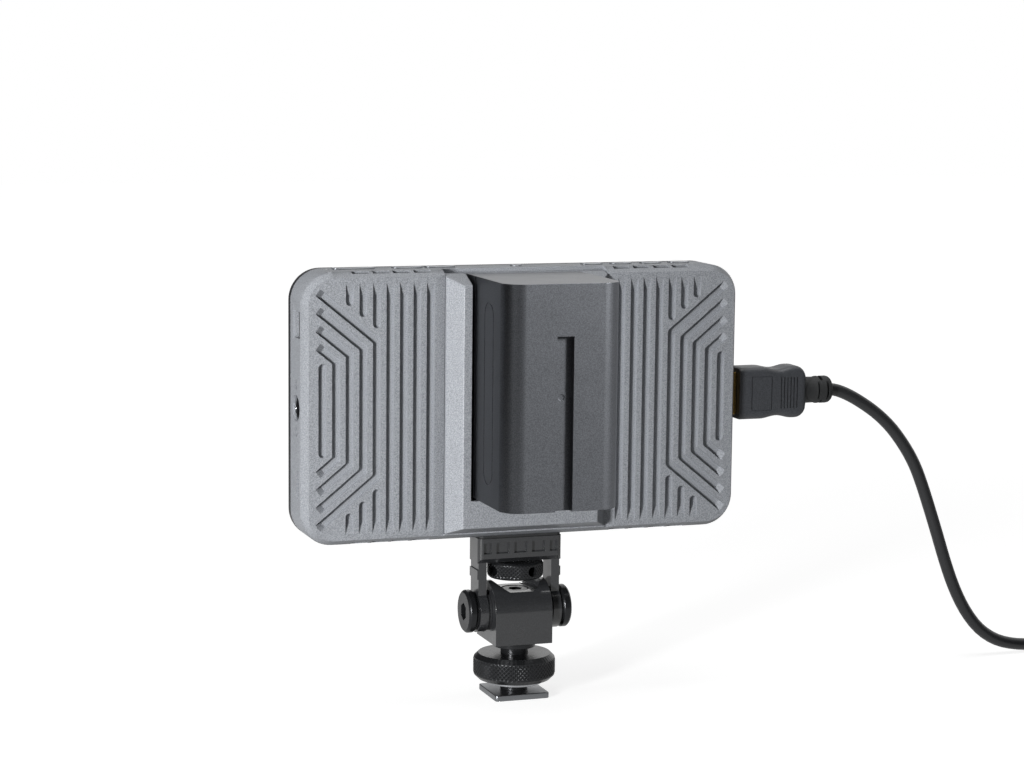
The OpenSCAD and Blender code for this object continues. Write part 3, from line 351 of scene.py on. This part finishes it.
def add_thumb_wheel():
    """Knurled wheel with four bar holes and its screw stud."""
    low, high = in_mm("thumb_wheel")
    rim = high.x
    top = low.z + WHEEL_THICK
    rings = wheel_rings(low.z, top, rim, THUMB_BEVEL, THUMB_TEETH, STUD_RADIUS)
    steps = THUMB_TEETH * KNURL_SAMPLES
    threads = int((high.z - top - 1) / STUD_PITCH * 2)
    for i in range(threads):
        radius = STUD_RADIUS - (THREAD_DEPTH if i % 2 else 0)
        rings.append(ring_at(radius, top + 0.5 + i * STUD_PITCH / 2, steps))
    rings.append(ring_at(STUD_RADIUS - STUD_TIP, high.z, steps))
    wheel = mesh_piece("knurled_thumb_wheel", [skin(rings)], "thumb_wheel", "black_steel", sharp=25,
                       stands_for=["thumb_wheel"])
    middle = Vector((0, 0, low.z + WHEEL_THICK / 2))
    holes = []
    for angle in TOMMY_ANGLES:
        out = Vector((math.cos(math.radians(angle)), math.sin(math.radians(angle)), 0))
        holes.append(rod(out * (rim - TOMMY_DEPTH) + middle, out * (rim + 2) + middle, TOMMY_RADIUS))
    cut(wheel, holes, sharp=25)


def add_lock_wheel():
    """Knurled clamping wheel with its bore."""
    low, high = in_mm("lock_wheel")
    rings = wheel_rings(low.z, high.z, high.x, LOCK_BEVEL, LOCK_TEETH, LOCK_BORE)
    mesh_piece("knurled_lock_wheel", [skin(rings, loop=True)], "lock_wheel", "black_steel", sharp=25,
               stands_for=["lock_wheel"])


# ---- video plugs ----

PLUG_BODY = 24.2
PLUG_HIGH = 17.4
PLUG_DEEP = 10.5
RELIEF = 10.6
PLUG_WAIST = 0.9
PLUG_ROUND = 3.4
PLUG_SOFT = 2.2
# Where the plug's waist starts, is narrowest and ends, as distances from the end at the case
WAIST_START = 19.5
WAIST_NARROW = 14
WAIST_END = 8
PLUG_CHAMFER = 0.35
NOSE_LENGTH = 0.9
NOSE_CURVE = 0.8
NOSE_STOPS = [0.0, 0.3, 0.8, 1.6, 2.5, PLUG_ROUND]
BODY_STOPS = 30
END_LENGTH = 0.6
MARK_DEPTH = 0.35
GRIPS = 6
GRIP_START = 20.9
GRIP_PITCH = 1.16
GRIP_HALF_WIDTH = 0.28
GRIP_HALF_HEIGHT = 5.25
GRIP_ROUND = 0.27
PANEL_START = 11.7
PANEL_END = 4.2
PANEL_HALF_HEIGHT = 5.8
PANEL_LINE = 0.3
PANEL_ROUND = 0.1


def plug_half(x):
    """Half height of the plug's body x from its cable end: a round end, a waist, then the full height."""
    half = PLUG_HIGH / 2
    if x < PLUG_ROUND:
        return half - PLUG_ROUND + math.sqrt(PLUG_ROUND ** 2 - (PLUG_ROUND - x) ** 2)
    start, low, end = PLUG_BODY - WAIST_START, PLUG_BODY - WAIST_NARROW, PLUG_BODY - WAIST_END
    if start < x < low:
        return half - PLUG_WAIST * (1 - math.cos(math.pi * (x - start) / (low - start))) / 2
    if low <= x < end:
        return half - PLUG_WAIST * (1 + math.cos(math.pi * (x - low) / (end - low))) / 2
    return half


def rounded_section(x, half_y, half_z, radius, corner=8):
    """Rectangle with round corners square to the plug's length."""
    ring = []
    for i, (sy, sz) in enumerate(((1, 1), (-1, 1), (-1, -1), (1, -1))):
        for k in range(corner + 1):
            a = math.pi / 2 * (i + k / corner)
            ring.append((x, sy * (half_y - radius) + radius * math.cos(a),
                         sz * (half_z - radius) + radius * math.sin(a)))
    return ring


def bar(x0, x1, y0, y1, z0, z1, radius=0.2):
    """Box with its corners rounded, as seen from the plug's side."""
    outline = []
    for i, (cx, cz) in enumerate(((x1, z1), (x0, z1), (x0, z0), (x1, z0))):
        sx, sz = (1, -1, -1, 1)[i], (1, 1, -1, -1)[i]
        for k in range(5):
            a = math.pi / 2 * (i + k / 4)
            outline.append((cx - sx * radius + radius * math.cos(a), cz - sz * radius + radius * math.sin(a)))
    return skin([[(x, y, z) for x, z in outline] for y in (y0, y1)])


def add_plug(prefix, place, body):
    """Moulded plug with a waist, a sunk panel line and grip grooves on both faces, and its strain relief."""
    deep = PLUG_DEEP / 2
    straight = PLUG_BODY - END_LENGTH - PLUG_ROUND
    stops = NOSE_STOPS + [PLUG_ROUND + straight * i / BODY_STOPS for i in range(1, BODY_STOPS + 1)]
    stops.append(PLUG_BODY)
    rings = []
    for x in stops:
        chamfer = PLUG_CHAMFER if x == PLUG_BODY else 0
        drop = max(0, NOSE_LENGTH - x) ** 2 * NOSE_CURVE + chamfer
        rings.append(rounded_section(x + RELIEF, deep - drop, plug_half(x) - chamfer, PLUG_SOFT - drop))
    plug = mesh_piece(prefix + "moulded_plug", [skin(rings)], body, "plug_black", sharp=35,
                      stands_for=[prefix + "plug_body"])
    end = RELIEF + PLUG_BODY
    left, right, line = end - PANEL_START, end - PANEL_END, PANEL_LINE
    low, high = -PANEL_HALF_HEIGHT, PANEL_HALF_HEIGHT
    cuts = []
    for side in (-1, 1):
        y0, y1 = sorted((side * (deep - MARK_DEPTH), side * (deep + 1)))
        for i in range(GRIPS):
            x = end - GRIP_START + i * GRIP_PITCH
            cuts.append(bar(x - GRIP_HALF_WIDTH, x + GRIP_HALF_WIDTH, y0, y1,
                            -GRIP_HALF_HEIGHT, GRIP_HALF_HEIGHT, GRIP_ROUND))
        cuts += [
            bar(left, left + line, y0, y1, low, high, PANEL_ROUND),
            bar(right - line, right, y0, y1, low, high, PANEL_ROUND),
            bar(left, right, y0, y1, low, low + line, PANEL_ROUND),
            bar(left, right, y0, y1, high - line, high, PANEL_ROUND),
        ]
    cut(plug, cuts)
    plug.data.transform(place)
    add_relief(prefix, place, body)


# Outline of the strain relief, as places along it with their radii
RELIEF_OUTLINE = (
    (0, 2.5), (0, 3.5), (0.25, 4.05), (0.8, 4.45), (1.5, 4.6),
    (5.2, 4.6), (6.0, 4.35), (10.0, 4.45), (RELIEF, 4.75),
)
# Its slots, each with its start, its end and the side that it opens to
RELIEF_SLOTS = ((1.5, 2.5, "y"), (3.4, 4.5, "z"), (4.9, 5.7, "y"))
RELIEF_CORE = 3.3
RELIEF_REACH = 6
SLOT_HALF_WIDTH = 3.4


def add_relief(prefix, place, body):
    """Strain relief: a rounded end, slots that change sides from gap to gap, and a plain collar."""
    relief = mesh_piece(prefix + "slotted_relief",
                        [skin([[(x, y, z) for y, z, _ in ring_at(r, 0, 64)] for x, r in RELIEF_OUTLINE])],
                        body, "black_rubber", sharp=30, stands_for=[prefix + "strain_relief"])
    slots = []
    for start, end, side in RELIEF_SLOTS:
        for sign in (-1, 1):
            deep = sorted((sign * RELIEF_CORE, sign * RELIEF_REACH))
            wide = (-SLOT_HALF_WIDTH, SLOT_HALF_WIDTH)
            slots.append(bar(start, end, *deep, *wide) if side == "y" else bar(start, end, *wide, *deep))
    cut(relief, slots, sharp=30)
    relief.data.transform(place)


# ---- cable ----

CABLE = 4.2
# Points that the free cable passes, from the strain relief down to the surface
ROUTE = [
    (-111.4, 0, 97.3), (-115, 0, 96.6), (-119.6, 0, 94.7), (-125, 0, 91.6), (-130.4, 0, 87.8),
    (-135.9, 0, 82.7), (-141.2, -0.1, 76), (-145.1, -0.3, 69.7), (-148.2, -0.6, 63), (-151.6, -1, 54.5),
    (-155.2, -1.4, 45), (-158.9, -1.8, 35), (-163, -2.3, 25.5), (-167.9, -2.8, 17), (-174, -3.3, 9.9),
    (-181.4, -3.7, 5.2), (-190, -3.9, 3), (-199, -4, 2.6), (-207.5, -4, 2.6),
]
COIL_TURNS = 1.875
COIL_PITCH = 4.8
COIL_RADIUS = 27.4
COIL_LEAD = CABLE + 1
COIL_LOW = 2.6
COIL_STEPS = 48
ROUTE_STEPS = 3
# Length of the lead from the coil to the far plug, and of its straight end
FAR_LEAD = 18
FAR_STRAIGHT = 4.5
# Steps of the lead's rise, and how many of them come before the straight end
FAR_STEPS = 16
FAR_STEPS_KEPT = 12
COIL_CENTRE = (ROUTE[-1][0] - COIL_LEAD, ROUTE[-1][1] + COIL_RADIUS)
FAR_END = (COIL_CENTRE[0] - COIL_RADIUS, COIL_CENTRE[1] + FAR_LEAD, PLUG_DEEP / 2)
# Number of sides round the cable's section
CABLE_SIDES = 16


def climb(share):
    """Smooth rise from 0 to 1."""
    return share * share * (3 - 2 * share)


def coil_point(turn):
    """Point of the coil after so many turns: spiral in, climb a layer in half a turn, spiral out."""
    inner = COIL_RADIUS - COIL_PITCH * COIL_TURNS
    past = turn - COIL_TURNS
    if past < 0:
        radius = COIL_RADIUS - COIL_PITCH * turn
    elif past < 0.5:
        radius = inner - COIL_PITCH * past * (1 - 2 * past)
    else:
        radius = inner + COIL_PITCH * (past - 0.5)
    a = math.radians(-90 - 360 * turn)
    height = COIL_LOW + COIL_PITCH * climb(min(1, max(0, 2 * past)))
    return (COIL_CENTRE[0] + radius * math.cos(a), COIL_CENTRE[1] + radius * math.sin(a), height)


def smooth_route(points, steps):
    """Points of a Catmull-Rom curve through the given ones."""
    spots = [Vector(p) for p in points]
    spots = [2 * spots[0] - spots[1]] + spots + [2 * spots[-1] - spots[-2]]
    made = []
    for a, b, c, d in zip(spots, spots[1:], spots[2:], spots[3:]):
        for i in range(steps):
            t = i / steps
            made.append(0.5 * (2 * b + (c - a) * t + (2 * a - 5 * b + 4 * c - d) * t ** 2
                               + (3 * b - a - 3 * c + d) * t ** 3))
    return made + [spots[-2]]


def cable_path():
    """The whole cable: free run, coil, then the lead to the far plug."""
    turns = 2 * COIL_TURNS + 0.5
    count = round(turns * COIL_STEPS)
    path = smooth_route(ROUTE, ROUTE_STEPS)
    path += [Vector((ROUTE[-1][0] - COIL_LEAD * share, ROUTE[-1][1], COIL_LOW)) for share in (1 / 3, 2 / 3)]
    path += [Vector(coil_point(turns * i / count)) for i in range(count + 1)]
    last = coil_point(turns)
    for i in range(1, FAR_STEPS_KEPT + 1):
        share = i / FAR_STEPS
        path.append(Vector((last[0], last[1] + (FAR_LEAD - FAR_STRAIGHT) * share,
                            last[2] + (FAR_END[2] - last[2]) * climb(share * share))))
    path += [Vector((FAR_END[0], FAR_END[1] - FAR_STRAIGHT, FAR_END[2])), Vector(FAR_END)]
    return path


def tube(path, radius, sides):
    """Round tube along a path, turned as little as possible from ring to ring."""
    rings = []
    across = Vector((0, 1, 0))
    angles = [math.tau * k / sides for k in range(sides)]
    for i, spot in enumerate(path):
        along = (path[min(i + 1, len(path) - 1)] - path[max(i - 1, 0)]).normalized()
        across = (across - along * across.dot(along)).normalized()
        over = along.cross(across)
        rings.append([spot + radius * (math.cos(a) * across + math.sin(a) * over) for a in angles])
    return skin(rings)


def add_cable():
    """One cable from the near strain relief to the far one."""
    path = cable_path()
    cable = mesh_piece("cable", [tube(path, CABLE / 2, CABLE_SIDES)], None, "cable_black", sharp=60,
                       stands_for=["cable_run", "cable_coil"])
    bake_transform(cable)


# ---- floor, backdrop and lamps ----

FLOOR_REACH = 3
# Shade of the floor in the light that it throws back at the object
FLOOR_SHADE = 0.2
# Shade of the seen floor where it takes light and shadow. A glow makes up the rest of its white
SHADOW_SHARE = 0.4
# Level of the grey light from all round
WORLD_LEVEL = 0.05
# Light of the lamps on the floor by the object, and the distances between which it fades out
FLOOR_LIGHT = 0.42
FLOOR_LIGHT_FADE = (0.1, 1.1)
# Levels of the mirrored floor near and far, and the distances between which it changes
MIRRORED_FLOOR = (0.7, 0.06)
MIRROR_FADE = (0.2, 0.6)
# Levels of the mirrored studio, and where its parts begin and end along the axes of a direction
DIM_LEVEL = 0.06
RIGHT_STRIP = 0.4
LEFT_STRIP = 1.5
BACKDROP_X = (-0.3, 0.1)
BACKDROP_Y = (-0.1, 0.3)
CEILING_Z = (0.8, 0.95)
RIGHT_X = (-0.4, -0.28)
RIGHT_Y = (0.35, 0.6)
LEFT_X = (0.5, 0.65)
LEFT_Y = (0.35, 0.5)
STRIPS_Z = (0.25, 0.5)
# Place, width and height, and watts of each lamp
LAMPS = {
    "key": ((0.5, 0.42, 0.14), (0.08, 0.14), 5.8),
    "top": ((0, 0.1, 1.2), (0.9, 0.7), 6),
    "front": ((-0.6, 0.75, 0.5), (0.2, 0.3), 24),
}
LAMPS_AIM = (0, 0, 0.09)
BATTERY_PIECES = ("battery_shell", "battery_base", "battery_cells", "battery_board")


def math_node(tree, operation, *values):
    """Output of a math node with sockets or plain numbers as its inputs."""
    made = tree.nodes.new("ShaderNodeMath")
    made.operation = operation
    for socket, value in zip(made.inputs, values):
        if isinstance(value, (int, float)):
            socket.default_value = value
        else:
            tree.links.new(value, socket)
    return made.outputs[0]


def spread(tree, source, low, high, start, end):
    """Smooth change from start to end as the source goes from low to high."""
    made = tree.nodes.new("ShaderNodeMapRange")
    made.interpolation_type = "SMOOTHSTEP"
    for name, value in (("From Min", low), ("From Max", high), ("To Min", start), ("To Max", end)):
        made.inputs[name].default_value = value
    tree.links.new(source, made.inputs["Value"])
    return made.outputs[0]


def choose(tree, which, otherwise, chosen):
    """One of two levels, by a factor of 0 or 1."""
    made = tree.nodes.new("ShaderNodeMix")
    tree.links.new(which, made.inputs[0])
    for socket, value in ((made.inputs[2], otherwise), (made.inputs[3], chosen)):
        if isinstance(value, float):
            socket.default_value = value
        else:
            tree.links.new(value, socket)
    return made.outputs[0]


def light_path(tree, *kinds):
    """1 where a ray is of one of the kinds, else 0."""
    path = tree.nodes.new("ShaderNodeLightPath")
    found = path.outputs[kinds[0]]
    for kind in kinds[1:]:
        found = math_node(tree, "MAXIMUM", found, path.outputs[kind])
    return found


def add_floor():
    """Floor that reads as white and keeps the object's soft shadow. Mirrored, it darkens with distance."""
    data = bpy.data.meshes.new("floor")
    corners = [(x * FLOOR_REACH, y * FLOOR_REACH, 0) for x, y in ((-1, -1), (1, -1), (1, 1), (-1, 1))]
    data.from_pydata(corners, [], [(0, 1, 2, 3)])
    floor = bpy.data.objects.new("floor", data)
    scene.collection.objects.link(floor)
    made = bpy.data.materials.new("floor")
    made.use_nodes = True
    tree = made.node_tree
    tree.nodes.remove(tree.nodes["Principled BSDF"])
    place = tree.nodes.new("ShaderNodeTexCoord")
    away = tree.nodes.new("ShaderNodeVectorMath")
    away.operation = "LENGTH"
    tree.links.new(place.outputs["Object"], away.inputs[0])
    far = away.outputs["Value"]
    lit = spread(tree, far, *FLOOR_LIGHT_FADE, FLOOR_LIGHT, 0.0)
    plain = math_node(tree, "MULTIPLY_ADD", lit, -SHADOW_SHARE, 1 - SHADOW_SHARE * WORLD_LEVEL)
    mirrored = spread(tree, far, *MIRROR_FADE, *MIRRORED_FLOOR)
    pale = tree.nodes.new("ShaderNodeBsdfDiffuse")
    pale.inputs[0].default_value = (FLOOR_SHADE, FLOOR_SHADE, FLOOR_SHADE, 1)
    shadow = tree.nodes.new("ShaderNodeBsdfDiffuse")
    glossy = light_path(tree, "Is Glossy Ray")
    tree.links.new(choose(tree, glossy, SHADOW_SHARE, 0.0), shadow.inputs[0])
    glow = tree.nodes.new("ShaderNodeEmission")
    tree.links.new(choose(tree, glossy, plain, mirrored), glow.inputs["Strength"])
    both = tree.nodes.new("ShaderNodeAddShader")
    tree.links.new(shadow.outputs[0], both.inputs[0])
    tree.links.new(glow.outputs[0], both.inputs[1])
    mix = tree.nodes.new("ShaderNodeMixShader")
    tree.links.new(light_path(tree, "Is Camera Ray", "Is Glossy Ray", "Is Transmission Ray"), mix.inputs[0])
    tree.links.new(pale.outputs[0], mix.inputs[1])
    tree.links.new(both.outputs[0], mix.inputs[2])
    tree.links.new(mix.outputs[0], tree.nodes["Material Output"].inputs[0])
    data.materials.append(made)


def add_world():
    """White where it is seen. Mirrored, it is a studio: a white backdrop and ceiling, and a strip on either
    side of the camera. Where it only gives light it is a plain grey."""
    world = bpy.data.worlds.new("world")
    world.use_nodes = True
    scene.world = world
    tree = world.node_tree
    place = tree.nodes.new("ShaderNodeTexCoord")
    axes = tree.nodes.new("ShaderNodeSeparateXYZ")
    tree.links.new(place.outputs["Generated"], axes.inputs[0])
    x, y, z = axes.outputs
    backdrop = math_node(tree, "MULTIPLY", spread(tree, y, *BACKDROP_Y, 1.0, 0.0),
                         spread(tree, x, *BACKDROP_X, 1.0, DIM_LEVEL))
    ceiling = spread(tree, z, *CEILING_Z, DIM_LEVEL, 1.0)
    right = math_node(tree, "MULTIPLY", spread(tree, x, *RIGHT_X, RIGHT_STRIP, 0.0),
                      spread(tree, y, *RIGHT_Y, 0.0, 1.0))
    left = math_node(tree, "MULTIPLY", spread(tree, x, *LEFT_X, 0.0, LEFT_STRIP),
                     spread(tree, y, *LEFT_Y, 0.0, 1.0))
    strips = math_node(tree, "MULTIPLY", math_node(tree, "MAXIMUM", right, left),
                       spread(tree, z, *STRIPS_Z, 1.0, 0.0))
    studio = math_node(tree, "MAXIMUM", math_node(tree, "MAXIMUM", backdrop, ceiling), strips)
    mirrored = choose(tree, light_path(tree, "Is Glossy Ray"), WORLD_LEVEL, studio)
    seen = choose(tree, light_path(tree, "Is Camera Ray", "Is Transmission Ray"), mirrored, 1.0)
    back = tree.nodes["Background"]
    tree.links.new(seen, back.inputs["Strength"])
    back.inputs["Color"].default_value = (1, 1, 1, 1)


def add_lamp(name, at, size, watts):
    """Soft lamp of a width and height that points at the middle of the object."""
    data = bpy.data.lights.new(name, "AREA")
    data.shape = "RECTANGLE"
    data.size, data.size_y = size
    data.energy = watts
    lamp = bpy.data.objects.new(name, data)
    lamp.location = at
    lamp.rotation_euler = (Vector(LAMPS_AIM) - Vector(at)).to_track_quat("-Z", "Y").to_euler()
    scene.collection.objects.link(lamp)
    return lamp


def piece_group(name, pieces, state):
    """Collection for light linking, with its pieces taken in or left out."""
    group = bpy.data.collections.new(name)
    for piece in pieces:
        group.objects.link(piece)
    for entry in group.collection_objects:
        entry.light_linking.link_state = state
    return group


def add_lamps():
    """Three lamps. The key lamp passes by the battery, which has the front lamp to itself."""
    key, _, front = [add_lamp(name, *lamp) for name, lamp in LAMPS.items()]
    battery = [nodes[name] for name in BATTERY_PIECES]
    rest = piece_group("all_but_battery", battery, "EXCLUDE")
    key.light_linking.receiver_collection = rest
    key.light_linking.blocker_collection = rest
    front.light_linking.receiver_collection = piece_group("battery_alone", battery, "INCLUDE")


def dress_nodes():
    """Finish and soft edges for every CAD piece."""
    slots = {}
    for entry in frame["record"]["materials"]:
        for node in entry.get("nodes", []):
            slots[node] = entry["slot"]
    for name, piece in nodes.items():
        slot = slots.get(name) or piece.data.materials[0].name
        dress_node(name, FINISHES[slot], EDGES.get(name, 0))


def main():
    scene.view_settings.view_transform = "Standard"
    add_camera()
    add_world()
    add_floor()
    add_lamps()
    dress_nodes()
    add_thumb_wheel()
    add_lock_wheel()
    near = Matrix.Translation(Vector(ROUTE[0]) * MM)
    far = (Matrix.Translation(Vector(FAR_END) * MM) @ Matrix.Rotation(math.pi / 2, 4, "Z")
           @ Matrix.Rotation(math.pi / 2, 4, "X"))
    add_plug("", near, "monitor_head")
    add_plug("far_", far, "swivel_block")
    add_cable()


main()
bpy.context.view_layer.update()
